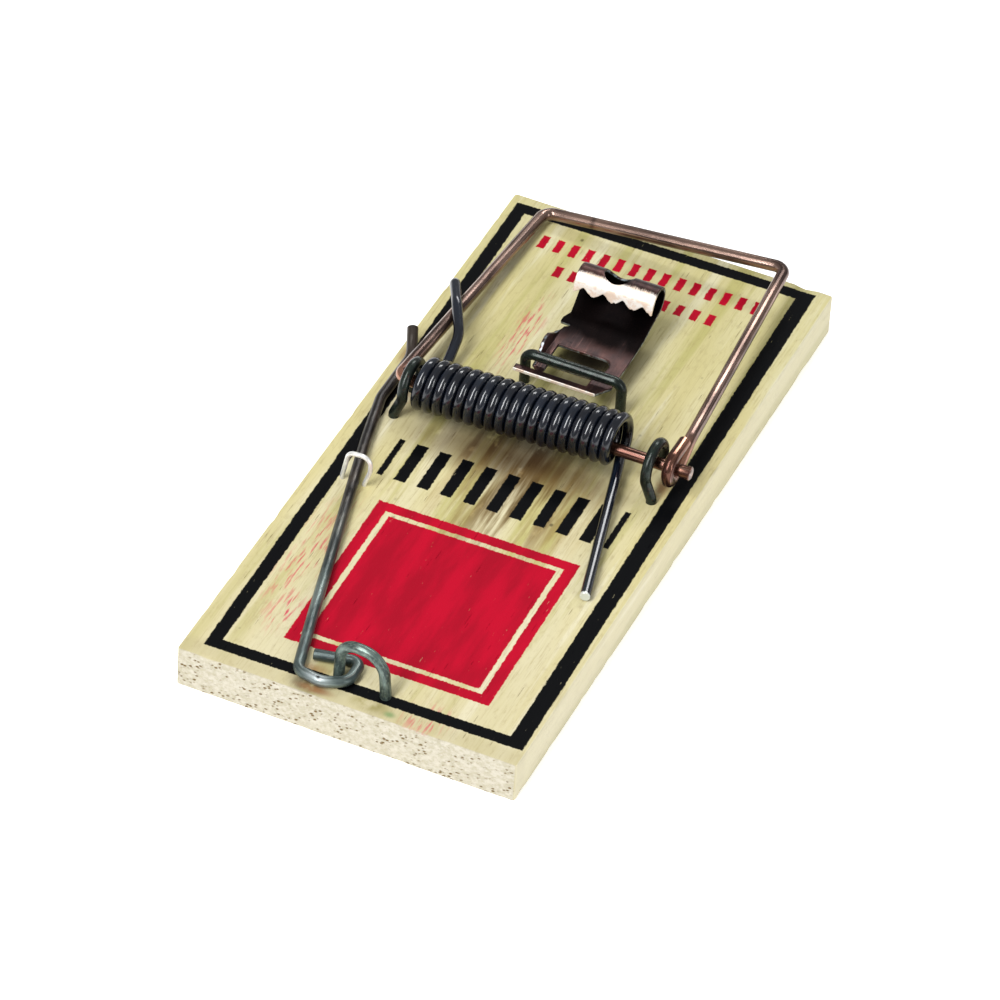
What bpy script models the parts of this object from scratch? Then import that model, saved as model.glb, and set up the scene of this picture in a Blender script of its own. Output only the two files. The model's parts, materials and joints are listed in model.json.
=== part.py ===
"""A snap mouse trap: wooden base, sprung wire hammer, lock bar, sheet-metal pedal and their staples.

The frame has its origin at the centre of the base's underside, +X across the base, +Y towards
the pedal end and +Z up. Sizes below are in millimetres, and every object is built in metres.
"""

import math

import bmesh
import bpy
from mathutils import Quaternion, Vector

MM = 0.001

# Base
BASE_WIDTH, BASE_LENGTH, BASE_HEIGHT = 44.5, 98.4, 5.7
BASE_CORNER_RADIUS = 0.5
BASE_EDGE_BEVEL = 0.25
LEG_DEPTH_Z = 1.2
HOLE_GAP = 0.25
HOLE_SIDES = 16

# Wire radii
HAMMER_RADIUS = 0.8
SPRING_RADIUS = 0.675
STAPLE_RADIUS = 0.69
LOCK_BAR_RADIUS = 0.71
EYE_STAPLE_RADIUS = 0.7
PACKAGING_RADIUS = 0.3

# Axle, which is also the hammer's joint
AXLE_Y, AXLE_Z = 4.5, 9.6

# Axle staples: the feet stand wider than the arch, so that the hammer's arms swing past
STAPLE_FOOT_X, STAPLE_ARCH_X = 17.45, 16.45
STAPLE_HALF_SPAN = 2.8
STAPLE_BEND_Z = 8.6
STAPLE_CROWN_Z = 12.0

# Torsion spring
COIL_RADIUS = 2.9
COIL_LEFT_X, COIL_RIGHT_X = -15.0, 11.57
COIL_TURNS = 19
COIL_STEPS = 14
COIL_LEFT_OFFSET, COIL_RIGHT_OFFSET = 0.15, 0.86

# Hammer eye, where the wire's end wraps the axle
EYE_X = 18.85
EYE_RADIUS = 1.7

# Lock bar
LOCK_BAR_Z = 6.45
LOCK_BAR_AXIS = (-3.0, -46.95, 7.15)

# Packaging staple
PACKAGING_Y = -12.0
PACKAGING_DEPTH_Z = 3.2

# Pedal: a flat blank of sheet metal, bent along its length into a ramp, a curl and a lip
PEDAL_FRONT_Y, PEDAL_MID_Z = 13.45, 8.75
PEDAL_THICKNESS = 0.5
PEDAL_FLAT = 7.0
PEDAL_RISE_LENGTH, PEDAL_RISE_ANGLE = 3.0, math.radians(6)
PEDAL_RAMP = 7.29
CURL_RADIUS, CURL_ANGLE = 1.95, math.radians(244)
CURL_START = PEDAL_FLAT + PEDAL_RISE_LENGTH + PEDAL_RAMP
LIP_START = CURL_START + CURL_RADIUS * CURL_ANGLE
BLANK_LENGTH = LIP_START + 1.2
CURL_STEPS = 18
PEDAL_RIGHT_X, CURL_RIGHT_X, CURL_LEFT_X = 5.9, 5.6, -5.2
TOOTH_COUNT, TOOTH_DEPTH = 4, 0.9
FLANGE_FOLD_X, FLANGE_BEND_RADIUS = -4.2, 0.4
FLANGE_START, FLANGE_END = 1.3, 10.7
BAIT_HOLE_RADIUS = 1.95
BAIT_HOLE_X, BAIT_HOLE_ANGLE = -0.2, math.radians(150)

# Pedal staple, whose crown is the pedal's joint
PEDAL_STAPLE_LEFT_X, PEDAL_STAPLE_RIGHT_X = -5.85, 7.25
PEDAL_STAPLE_Y, PEDAL_STAPLE_CROWN_Z = 15.45, 10.3

# Name: colour, roughness, metallic
FINISHES = {
    "wood": ((0.78, 0.68, 0.44), 0.75, 0.0),
    "copper_plated_wire": ((0.42, 0.30, 0.25), 0.4, 1.0),
    "blued_spring_wire": ((0.04, 0.05, 0.07), 0.25, 1.0),
    "patinated_wire": ((0.22, 0.27, 0.25), 0.5, 1.0),
    "lock_bar_wire": ((0.20, 0.20, 0.19), 0.5, 1.0),
    "copper_sheet": ((0.38, 0.19, 0.14), 0.45, 1.0),
    "bright_thin_wire": ((0.70, 0.70, 0.68), 0.3, 1.0),
}


def clear_scene():
    for thing in list(bpy.data.objects):
        bpy.data.objects.remove(thing, do_unlink=True)


def finish(name):
    """The material of that name, made on its first use."""
    if name in bpy.data.materials:
        return bpy.data.materials[name]
    colour, roughness, metallic = FINISHES[name]
    material = bpy.data.materials.new(name)
    material.use_nodes = True
    shader = material.node_tree.nodes["Principled BSDF"]
    shader.inputs["Base Color"].default_value = (*colour, 1.0)
    shader.inputs["Roughness"].default_value = roughness
    shader.inputs["Metallic"].default_value = metallic
    return material


def place(name, data, material, origin=(0.0, 0.0, 0.0)):
    """Puts data, whose points are relative to origin in mm, into the scene as an object."""
    thing = bpy.data.objects.new(name, data)
    thing.location = Vector(origin) * MM
    bpy.context.scene.collection.objects.link(thing)
    data.materials.append(finish(material))
    return thing


def rounded(corners, steps=5):
    """The points of a wire through corners (x, y, z, bend radius), each bend a circular arc."""
    points = [Vector(corners[0][:3])]
    for before, corner, after in zip(corners, corners[1:], corners[2:]):
        here = Vector(corner[:3])
        back = (Vector(before[:3]) - here).normalized()
        ahead = (Vector(after[:3]) - here).normalized()
        half = back.angle(ahead) / 2
        centre = here + (back + ahead).normalized() * (corner[3] / math.sin(half))
        spoke = here + back * (corner[3] / math.tan(half)) - centre
        turn = math.pi - 2 * half
        axis = ahead.cross(back).normalized()
        for i in range(steps + 1):
            points.append(centre + Quaternion(axis, turn * i / steps) @ spoke)
    points.append(Vector(corners[-1][:3]))
    return points


def make_wire(name, points, radius, material, origin=(0.0, 0.0, 0.0)):
    """A round wire with flat ends along points, as a curve object."""
    curve = bpy.data.curves.new(name, "CURVE")
    curve.dimensions = "3D"
    curve.bevel_depth = radius * MM
    curve.bevel_resolution = 2
    curve.use_fill_caps = True
    spline = curve.splines.new("POLY")
    spline.points.add(len(points) - 1)
    for slot, point in zip(spline.points, points):
        slot.co = (*((point - Vector(origin)) * MM), 1.0)
    return place(name, curve, material, origin)


def staple_holes():
    """Centre, radius and bottom of each hole that holds a staple's leg in the base."""
    axle = STAPLE_RADIUS + HOLE_GAP
    for x in (-STAPLE_FOOT_X, STAPLE_FOOT_X):
        for side in (-1, 1):
            yield x, AXLE_Y + side * STAPLE_HALF_SPAN, axle, LEG_DEPTH_Z
    for x in (PEDAL_STAPLE_LEFT_X, PEDAL_STAPLE_RIGHT_X):
        yield x, PEDAL_STAPLE_Y, axle, LEG_DEPTH_Z
    route = eye_staple_corners()
    for foot in (route[0], route[-1]):
        yield foot[0], foot[1], EYE_STAPLE_RADIUS + HOLE_GAP, LEG_DEPTH_Z
    route = packaging_corners()
    for foot in (route[0], route[-1]):
        yield foot[0], foot[1], PACKAGING_RADIUS + HOLE_GAP, PACKAGING_DEPTH_Z


def make_hole_cutter():
    """One cylinder for each staple leg, 0.3 mm deeper than the leg's end."""
    builder = bmesh.new()
    for x, y, radius, bottom in staple_holes():
        depth = BASE_HEIGHT + 1.0 - (bottom - 0.3)
        made = bmesh.ops.create_cone(
            builder, cap_ends=True, segments=HOLE_SIDES, depth=depth * MM,
            radius1=radius * MM, radius2=radius * MM,
        )
        shift = Vector((x, y, bottom - 0.3 + depth / 2)) * MM
        bmesh.ops.translate(builder, verts=made["verts"], vec=shift)
    mesh = bpy.data.meshes.new("leg_holes")
    builder.to_mesh(mesh)
    builder.free()
    cutter = bpy.data.objects.new("leg_holes", mesh)
    bpy.context.scene.collection.objects.link(cutter)
    cutter.hide_render = True
    cutter.display_type = "WIRE"
    return cutter


def make_base():
    """The board, with rounded upright corners, a slight edge bevel and a blind hole for each leg."""
    builder = bmesh.new()
    size = Vector((BASE_WIDTH, BASE_LENGTH, BASE_HEIGHT)) * MM
    bmesh.ops.create_cube(builder, size=1.0)
    bmesh.ops.scale(builder, verts=builder.verts, vec=size)
    bmesh.ops.translate(builder, verts=builder.verts, vec=(0, 0, size.z / 2))
    upright = [
        edge for edge in builder.edges
        if abs(edge.verts[0].co.z - edge.verts[1].co.z) > size.z / 2
    ]
    bmesh.ops.bevel(
        builder, geom=upright, offset=BASE_CORNER_RADIUS * MM, segments=4, profile=0.5,
        affect="EDGES",
    )
    rims = [
        edge for edge in builder.edges
        if abs(edge.verts[0].co.z - edge.verts[1].co.z) < size.z / 2
    ]
    bmesh.ops.bevel(
        builder, geom=rims, offset=BASE_EDGE_BEVEL * MM, segments=1, affect="EDGES",
    )
    mesh = bpy.data.meshes.new("base")
    builder.to_mesh(mesh)
    builder.free()
    base = place("base", mesh, "wood")
    holes = base.modifiers.new("leg_holes", "BOOLEAN")
    holes.operation = "DIFFERENCE"
    holes.object = make_hole_cutter()


def make_axle_staples():
    """The two staples that hold the axle, splayed above the board and driven straight into it."""
    arch_z = STAPLE_CROWN_Z - STAPLE_HALF_SPAN
    front, rear = AXLE_Y - STAPLE_HALF_SPAN, AXLE_Y + STAPLE_HALF_SPAN
    for side, name in ((-1, "axle_staple_left"), (1, "axle_staple_right")):
        foot, arch = side * STAPLE_FOOT_X, side * STAPLE_ARCH_X
        leg = [
            Vector((foot, front, LEG_DEPTH_Z)),
            Vector((foot, front, BASE_HEIGHT + 0.4)),
            Vector((arch, front, STAPLE_BEND_Z)),
        ]
        bow = [
            Vector((
                arch,
                AXLE_Y - STAPLE_HALF_SPAN * math.cos(math.pi * i / 10),
                arch_z + STAPLE_HALF_SPAN * math.sin(math.pi * i / 10),
            ))
            for i in range(11)
        ]
        other = [Vector((point.x, rear, point.z)) for point in reversed(leg)]
        make_wire(name, leg + bow + other, STAPLE_RADIUS, "patinated_wire")


def make_spring():
    """The coil hangs on the axle a little behind and above it, more so at its right end."""
    steps = COIL_TURNS * COIL_STEPS
    coil = []
    for i in range(steps + 1):
        share = i / steps
        angle = -math.pi / 2 - math.tau * i / COIL_STEPS
        offset = COIL_LEFT_OFFSET + (COIL_RIGHT_OFFSET - COIL_LEFT_OFFSET) * share
        coil.append(Vector((
            COIL_LEFT_X + (COIL_RIGHT_X - COIL_LEFT_X) * share,
            AXLE_Y + offset + COIL_RADIUS * math.cos(angle),
            AXLE_Z + offset + COIL_RADIUS * math.sin(angle),
        )))
    # The hook passes over the hammer's left arm, and the leg lies on the board
    hook = rounded([
        (-20.1, 25.4, 8.3, 0),
        (-19.6, 24.2, 9.9, 1.2),
        (-17.6, 20.3, 10.3, 4),
        (-15.3, 16.2, 8.9, 5),
        (-15.05, 12.2, 7.2, 7),
        (*coil[0], 0),
    ])
    leg = rounded([(*coil[-1], 0), (12.15, 3.2, 7.2, 6), (17.6, -18.9, 6.42, 0)])
    make_wire("spring", hook[:-1] + coil + leg[1:], SPRING_RADIUS, "blued_spring_wire")


def make_hammer():
    """Axle, left arm, striking bar, right arm and eye, all bent from one wire."""
    front = AXLE_Y - EYE_RADIUS
    low, high = AXLE_Z - EYE_RADIUS, AXLE_Z + EYE_RADIUS
    eye_bend = EYE_RADIUS - 0.01
    route = rounded([
        (21.3, AXLE_Y, AXLE_Z, 0),
        (-18.3, AXLE_Y, AXLE_Z, 1.3),
        (-16.7, 46.1, 6.85, 1.6),
        (16.5, 46.4, 10.1, 1.6),
        (18.65, 10.3, 9.65, 4),
        (18.8, 6.4, low, 2),
        (EYE_X, front, low, eye_bend),
        (EYE_X, front, high, eye_bend),
        (EYE_X, 8.0, high - 0.05, 0),
    ])
    make_wire("hammer", route, HAMMER_RADIUS, "copper_plated_wire", (0, AXLE_Y, AXLE_Z))


def make_lock_bar():
    """A straight shank with a flat loop at its front end and a raised tip at its rear end."""
    z = LOCK_BAR_Z
    route = rounded([
        (-6.97, -43.3, z, 0),
        (-4.5, -42.75, z, 4),
        (-1.3, -41.9, z, 1.1),
        (-1.15, -45.9, z, 2.0),
        (-4.2, -47.3, z, 3),
        (-7.5, -46.7, z, 1.5),
        (-9.85, -38.0, z, 6),
        (-18.15, -5.0, z, 20),
        (-19.95, 3.2, z, 8),
        (-19.95, 12.3, z, 4),
        (-21.5, 15.8, 8.0, 0),
    ], steps=4)
    make_wire("lock_bar", route, LOCK_BAR_RADIUS, "lock_bar_wire", LOCK_BAR_AXIS)


def eye_staple_corners():
    return [
        (-3.0, -44.7, LEG_DEPTH_Z, 0),
        (-3.0, -44.7, BASE_HEIGHT + 0.4, 6),
        (-2.75, -44.9, 11.6, 2.4),
        (2.9, -45.2, 11.3, 3.1),
        (3.48, -45.43, BASE_HEIGHT + 0.6, 6),
        (3.48, -45.43, LEG_DEPTH_Z, 0),
    ]


def packaging_corners():
    return [
        (-18.05, PACKAGING_Y, PACKAGING_DEPTH_Z, 0),
        (-18.05, PACKAGING_Y, 6.2, 3),
        (-17.3, PACKAGING_Y, 10.1, 1.0),
        (-14.3, PACKAGING_Y, 10.3, 1.2),
        (-14.35, PACKAGING_Y, 8.1, 1.5),
        (-15.05, PACKAGING_Y, 5.9, 1.5),
        (-15.05, PACKAGING_Y, PACKAGING_DEPTH_Z, 0),
    ]


def make_small_staples():
    make_wire("eye_staple", rounded(eye_staple_corners()), EYE_STAPLE_RADIUS, "patinated_wire")
    make_wire(
        "packaging_staple", rounded(packaging_corners(), steps=4), PACKAGING_RADIUS,
        "bright_thin_wire", LOCK_BAR_AXIS,
    )
    pedal_staple = rounded([
        (PEDAL_STAPLE_LEFT_X, PEDAL_STAPLE_Y, LEG_DEPTH_Z, 0),
        (PEDAL_STAPLE_LEFT_X, PEDAL_STAPLE_Y, PEDAL_STAPLE_CROWN_Z, 1.2),
        (PEDAL_STAPLE_RIGHT_X, PEDAL_STAPLE_Y, PEDAL_STAPLE_CROWN_Z, 1.2),
        (PEDAL_STAPLE_RIGHT_X, PEDAL_STAPLE_Y, LEG_DEPTH_Z, 0),
    ])
    make_wire("pedal_staple", pedal_staple, STAPLE_RADIUS, "patinated_wire")


def pedal_section(along):
    """Where the sheet's middle lies at that length along the blank: y, z and its heading."""
    y, z, heading = PEDAL_FRONT_Y, PEDAL_MID_Z, 0.0
    stretches = (
        (PEDAL_FLAT, 0.0),
        (PEDAL_RISE_LENGTH, PEDAL_RISE_ANGLE),
        (PEDAL_RAMP, 0.0),
        (CURL_RADIUS * CURL_ANGLE, CURL_ANGLE),
        (math.inf, 0.0),
    )
    for length, turn in stretches:
        run = min(along, length)
        if turn:
            radius = length / turn
            ahead = heading + run / radius
            y += radius * (math.sin(ahead) - math.sin(heading))
            z += radius * (math.cos(heading) - math.cos(ahead))
            heading = ahead
        else:
            y += run * math.cos(heading)
            z += run * math.sin(heading)
        along -= run
        if along <= 0:
            break
    return y, z, heading


def bent(x, along, height):
    """A point of the flat blank, moved to where it lies once the pedal is bent."""
    y, z, heading = pedal_section(along)
    if FLANGE_START <= along <= FLANGE_END and x < FLANGE_FOLD_X:
        over = FLANGE_FOLD_X - x
        turn = min(over / FLANGE_BEND_RADIUS, math.pi / 2)
        upright = over - turn * FLANGE_BEND_RADIUS
        x = FLANGE_FOLD_X - FLANGE_BEND_RADIUS * math.sin(turn) + height * math.sin(turn)
        z += FLANGE_BEND_RADIUS * (1 - math.cos(turn)) + upright + height * math.cos(turn)
        return Vector((x, y, z))
    return Vector((x, y - height * math.sin(heading), z + height * math.cos(heading)))


def tooth_edge():
    """The lip's end, right to left: a wave that leaves a tooth at each side."""
    pitch = (CURL_RIGHT_X - CURL_LEFT_X) / TOOTH_COUNT
    edge = []
    for tooth in range(TOOTH_COUNT):
        for i in range(6):
            rise = 0.5 + 0.5 * math.cos(math.tau * i / 6)
            edge.append((
                CURL_RIGHT_X - (tooth + i / 6) * pitch,
                BLANK_LENGTH - TOOTH_DEPTH * (1 - rise),
            ))
    edge.append((CURL_LEFT_X, BLANK_LENGTH))
    return edge


def blank_outline():
    """The flat blank's rim, anticlockwise, as (x, length along the blank)."""
    return [
        (-6.7, 0.0), (4.4, 0.0), (5.85, 2.1), (PEDAL_RIGHT_X, 12.0),
        (CURL_RIGHT_X, CURL_START),
        *tooth_edge(),
        (CURL_LEFT_X, CURL_START), (-4.75, 14.6), (-4.5, 12.9), (-5.05, 11.7), (-5.05, 10.9),
        (-3.6, 10.8), (-3.6, 10.6), (-4.25, 10.2), (-5.1, 8.2), (-6.5, 6.2), (-6.7, 5.2),
        (-6.4, 4.3), (-5.6, 3.5), (-4.8, 3.0), (-4.7, 1.6), (-4.25, 1.4), (-3.9, 1.2),
        (-3.9, 1.0), (-6.7, 1.0),
    ]


def blank_openings():
    """The two slots and the bait hole."""
    first_slot = [(-3.1, 1.0), (2.9, 1.0), (2.9, 2.75), (-3.1, 2.75)]
    round_end = [
        (3.0 + 0.9 * math.sin(turn), 5.4 - 1.4 * math.cos(turn))
        for turn in (math.pi * i / 6 for i in range(7))
    ]
    second_slot = [(-3.5, 4.0), *round_end, (-3.5, 6.85)]
    centre = CURL_START + CURL_RADIUS * BAIT_HOLE_ANGLE
    bait_hole = [
        (
            BAIT_HOLE_X + BAIT_HOLE_RADIUS * math.cos(math.tau * i / 20),
            centre + BAIT_HOLE_RADIUS * math.sin(math.tau * i / 20),
        )
        for i in range(20)
    ]
    return first_slot, second_slot, bait_hole


def score(builder, point, normal):
    """Adds edges where a plane crosses the mesh, so that the sheet can bend there."""
    everything = builder.verts[:] + builder.edges[:] + builder.faces[:]
    bmesh.ops.bisect_plane(builder, geom=everything, plane_co=point, plane_no=normal, dist=1e-5)


def make_pedal():
    """Fills the blank's outline, gives it the sheet's thickness, scores it and bends it."""
    builder = bmesh.new()
    for loop in (blank_outline(), *blank_openings()):
        rim = [builder.verts.new((x, along, -PEDAL_THICKNESS / 2)) for x, along in loop]
        for start, end in zip(rim, rim[1:] + rim[:1]):
            builder.edges.new((start, end))
    bmesh.ops.triangle_fill(builder, use_beauty=True, edges=builder.edges[:])
    raised = bmesh.ops.extrude_face_region(builder, geom=builder.faces[:])["geom"]
    top = [item for item in raised if isinstance(item, bmesh.types.BMVert)]
    bmesh.ops.translate(builder, verts=top, vec=(0, 0, PEDAL_THICKNESS))
    for i in range(4):
        score(builder, (0, PEDAL_FLAT + PEDAL_RISE_LENGTH * i / 3, 0), (0, 1, 0))
        fold = FLANGE_FOLD_X - FLANGE_BEND_RADIUS * math.pi / 2 * i / 3
        score(builder, (fold, 0, 0), (1, 0, 0))
    for i in range(CURL_STEPS + 1):
        along = CURL_START + CURL_RADIUS * CURL_ANGLE * i / CURL_STEPS
        score(builder, (0, along, 0), (0, 1, 0))
    bmesh.ops.triangulate(builder, faces=builder.faces[:])
    bmesh.ops.recalc_face_normals(builder, faces=builder.faces[:])
    pivot = Vector((0, PEDAL_STAPLE_Y, PEDAL_STAPLE_CROWN_Z))
    for vertex in builder.verts:
        vertex.co = (bent(*vertex.co) - pivot) * MM
    mesh = bpy.data.meshes.new("pedal")
    builder.to_mesh(mesh)
    builder.free()
    place("pedal", mesh, "copper_sheet", pivot)


def main():
    clear_scene()
    make_base()
    make_axle_staples()
    make_spring()
    make_hammer()
    make_lock_bar()
    make_small_staples()
    make_pedal()


main()
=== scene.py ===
"""The looks of a snap mouse trap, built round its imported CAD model.

Wire routes and sheet sizes are in millimetres, in the CAD model's frame: +X across the base,
+Y towards the pedal end, +Z up. Meshes are made in metres. Every piece stands for the CAD node
whose place and size it keeps, and adds what the plain solid lacks.
"""

import json
import math

import bmesh
import bpy
from mathutils import Matrix, Quaternion, Vector, noise


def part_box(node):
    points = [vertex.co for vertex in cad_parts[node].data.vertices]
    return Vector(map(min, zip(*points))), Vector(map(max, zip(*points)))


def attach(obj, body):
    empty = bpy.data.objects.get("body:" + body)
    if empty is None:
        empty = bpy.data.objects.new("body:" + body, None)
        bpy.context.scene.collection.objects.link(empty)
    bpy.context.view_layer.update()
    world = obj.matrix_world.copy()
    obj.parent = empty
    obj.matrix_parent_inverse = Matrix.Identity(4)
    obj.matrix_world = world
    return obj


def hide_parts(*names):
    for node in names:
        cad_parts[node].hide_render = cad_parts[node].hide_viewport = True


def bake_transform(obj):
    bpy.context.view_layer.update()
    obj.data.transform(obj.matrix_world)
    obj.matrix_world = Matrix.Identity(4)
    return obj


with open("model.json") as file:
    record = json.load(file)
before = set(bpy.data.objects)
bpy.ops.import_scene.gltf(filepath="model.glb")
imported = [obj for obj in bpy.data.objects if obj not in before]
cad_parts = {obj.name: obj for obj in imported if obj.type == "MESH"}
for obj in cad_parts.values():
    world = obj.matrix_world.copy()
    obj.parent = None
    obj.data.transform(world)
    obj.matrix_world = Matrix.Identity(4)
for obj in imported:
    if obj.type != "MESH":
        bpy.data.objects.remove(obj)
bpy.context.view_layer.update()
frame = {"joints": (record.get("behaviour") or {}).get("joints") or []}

MM = 0.001
JOINTS = {joint["name"]: joint for joint in frame["joints"]}
AXLE_Y, AXLE_Z = [value / MM for value in JOINTS["hammer_swing"]["pos_m"][1:]]
CROWN_Y, CROWN_Z = [value / MM for value in JOINTS["pedal_tilt"]["pos_m"][1:]]
BASE_LOW, BASE_HIGH = [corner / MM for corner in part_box("base")]
BOARD_TOP = BASE_HIGH.z

# Wires: their steps, and the length of the lumps that make them uneven. A sharper turn between
# faces than its crease is shaded as an edge.
LONGEST_STEP, SAME_POINT = 0.8, 1e-4
LUMP_LENGTH = 1.2
WIRE_CREASE, BOARD_CREASE = math.radians(40), math.radians(50)

# Wire radii, and how high inside the board the staples' legs end
HAMMER_RADIUS = 0.8
SPRING_RADIUS = 0.675
STAPLE_RADIUS = 0.69
LOCK_BAR_RADIUS = 0.71
EYE_STAPLE_RADIUS = 0.7
PACKAGING_RADIUS = 0.3
FOOT_Z = 1.2

# Axle staples
STAPLE_FOOT_X, STAPLE_ARCH_X = 17.45, 16.45
STAPLE_HALF_SPAN = 2.8
STAPLE_BEND_Z = 8.6
STAPLE_CROWN_Z = 12.0
BOW_STEPS = 28

# Torsion spring
COIL_RADIUS = 2.87
COIL_LEFT_X, COIL_RIGHT_X = -15.0, 11.57
COIL_TURNS, STEPS_PER_TURN = 19, 36
# How far the coil's axis sits behind and above the axle, at each end
COIL_LEFT_OFFSET, COIL_RIGHT_OFFSET = 0.15, 0.86

# Hammer: its eye, and the axle's hammered end
EYE_X, EYE_RADIUS = 18.85, 1.7
HEAD_LENGTH, HEAD_SWELL, HEAD_BURR = 1.3, 0.13, 0.12

# Lock bar, which lies level from its loop to its rear bend
LOCK_BAR_Z = 6.45

# Packaging staple
PACKAGING_Y, PACKAGING_FOOT_Z = -12.0, 3.2
PACKAGING_LEFT_X, PACKAGING_RIGHT_X = -18.05, -15.05

# Pedal blank, as in the CAD model
PEDAL_FRONT_Y, PEDAL_MID_Z = 13.45, 8.75
PEDAL_THICKNESS = 0.5
PEDAL_FLAT = 7.0
PEDAL_RISE_LENGTH, PEDAL_RISE_ANGLE = 3.0, math.radians(6)
PEDAL_RAMP = 7.29
CURL_RADIUS, CURL_ANGLE = 1.95, math.radians(244)
CURL_START = PEDAL_FLAT + PEDAL_RISE_LENGTH + PEDAL_RAMP
LIP_START = CURL_START + CURL_RADIUS * CURL_ANGLE
BLANK_LENGTH = LIP_START + 1.2
CURL_RIGHT_X, CURL_LEFT_X = 5.6, -5.2
# The lip's end is a wave of teeth with torn tips. Widening fills out the wave's crests.
TOOTH_COUNT, TOOTH_STEPS, TOOTH_DEPTH, TOOTH_WIDENING = 4, 12, 0.9, 0.6
TEAR_SIZE, TEAR_DEPTH = 0.28, 0.5
FLANGE_FOLD_X, FLANGE_BEND_RADIUS = -4.2, 0.4
FLANGE_START, FLANGE_END = 1.3, 10.7
BAIT_HOLE_RADIUS, BAIT_HOLE_X, BAIT_HOLE_ANGLE = 1.95, -0.2, math.radians(150)
BAIT_HOLE_STEPS, SLOT_END_STEPS = 48, 12
SHEET_VOXEL = 0.1
# The torn lip is drawn out thin over its last stretch, to this much less than the sheet
LIP_THIN_START, LIP_THIN_RUN, LIP_THINNING = BLANK_LENGTH - 1.6, 1.2, 0.35

# Camera, fitted to the board
CAMERA_AZIMUTH, CAMERA_ELEVATION, CAMERA_ROLL = 21.713, 41.017, 4.027
CAMERA_DISTANCE, CAMERA_LENS = 850.411, 247.787
CAMERA_TARGET = (0.0, 0.0, 3.0)
CAMERA_SLIDE = (-1.834, -2.140)

# Lights: name, place and size in metres, and power in watts
LIGHTS = (
    ("key", (-0.16, -0.32, 0.72), (0.16, 0.34), 2.6),
    ("front", (-0.15, -0.60, 0.52), (0.20, 0.40), 4.1),
    ("side", (0.75, -0.30, 0.35), (0.12, 0.5), 1.7),
    ("back", (-0.05, 0.60, 0.60), (0.45, 0.12), 2.0),
)
WORLD_STRENGTH = 0.34
# The paper's own glow keeps the background white. It lies just under the object.
FLOOR_SIZE, FLOOR_Z, FLOOR_GLOW = 6.0, -0.00005, 0.45


# ---------------------------------------------------------------- scene


def set_camera():
    azimuth, elevation = math.radians(CAMERA_AZIMUTH), math.radians(CAMERA_ELEVATION)
    roll = math.radians(CAMERA_ROLL)
    back = Vector((
        math.sin(azimuth) * math.cos(elevation),
        -math.cos(azimuth) * math.cos(elevation),
        math.sin(elevation),
    ))
    level = Vector((0, 0, 1)).cross(back).normalized()
    upright = back.cross(level)
    right = level * math.cos(roll) + upright * math.sin(roll)
    up = upright * math.cos(roll) - level * math.sin(roll)
    place = Vector(CAMERA_TARGET) + back * CAMERA_DISTANCE
    place += right * CAMERA_SLIDE[0] + up * CAMERA_SLIDE[1]
    data = bpy.data.cameras.new("camera")
    data.lens = CAMERA_LENS
    data.sensor_width = 36.0
    data.clip_start, data.clip_end = 0.01, 50.0
    camera = bpy.data.objects.new("camera", data)
    turn = Matrix((right, up, back)).transposed()
    camera.matrix_world = Matrix.Translation(place * MM) @ turn.to_4x4()
    bpy.context.scene.collection.objects.link(camera)
    bpy.context.scene.camera = camera


def add_area_light(name, place, size, power):
    """A white rectangular light at place, in metres, that shines at the object."""
    data = bpy.data.lights.new(name, "AREA")
    data.shape = "RECTANGLE"
    data.size, data.size_y = size
    data.energy = power
    light = bpy.data.objects.new(name, data)
    light.location = place
    light.rotation_euler = (-Vector(place)).to_track_quat("-Z", "Y").to_euler()
    bpy.context.scene.collection.objects.link(light)


def set_lights():
    world = bpy.data.worlds.new("studio")
    world.use_nodes = True
    background = world.node_tree.nodes["Background"]
    background.inputs["Color"].default_value = (1.0, 1.0, 1.0, 1.0)
    background.inputs["Strength"].default_value = WORLD_STRENGTH
    bpy.context.scene.world = world
    for light in LIGHTS:
        add_area_light(*light)
    settings = bpy.context.scene.view_settings
    settings.view_transform = "Standard"
    settings.look = "None"


def make_floor():
    bpy.ops.mesh.primitive_plane_add(size=FLOOR_SIZE, location=(0, 0, FLOOR_Z))
    floor = bpy.context.object
    floor.name = "floor"
    paint = Recipe("floor_paper")
    paint.colour(paint.mix(paint.noise(40, 3), srgb(252, 252, 252), srgb(248, 248, 248)))
    paint.set("Roughness", 0.9)
    paint.set("Emission Color", srgb(255, 255, 255))
    paint.set("Emission Strength", FLOOR_GLOW)
    floor.data.materials.append(paint.material)


# ---------------------------------------------------------------- materials


def srgb(*channels):
    """A linear colour from channels of 0 to 255."""
    linear = []
    for channel in channels:
        share = channel / 255
        low = share <= 0.04045
        linear.append(share / 12.92 if low else ((share + 0.055) / 1.055) ** 2.4)
    return (*linear, 1.0)


# How far apart two patterns lie whose seeds differ by 1
SEED_SHIFT = (7.3, 3.1, 5.7)

# A Mix node has a socket for each kind of value. These are its colour sockets.
MIX_COLOUR_A, MIX_COLOUR_B, MIX_COLOUR_RESULT = 6, 7, 2


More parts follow.
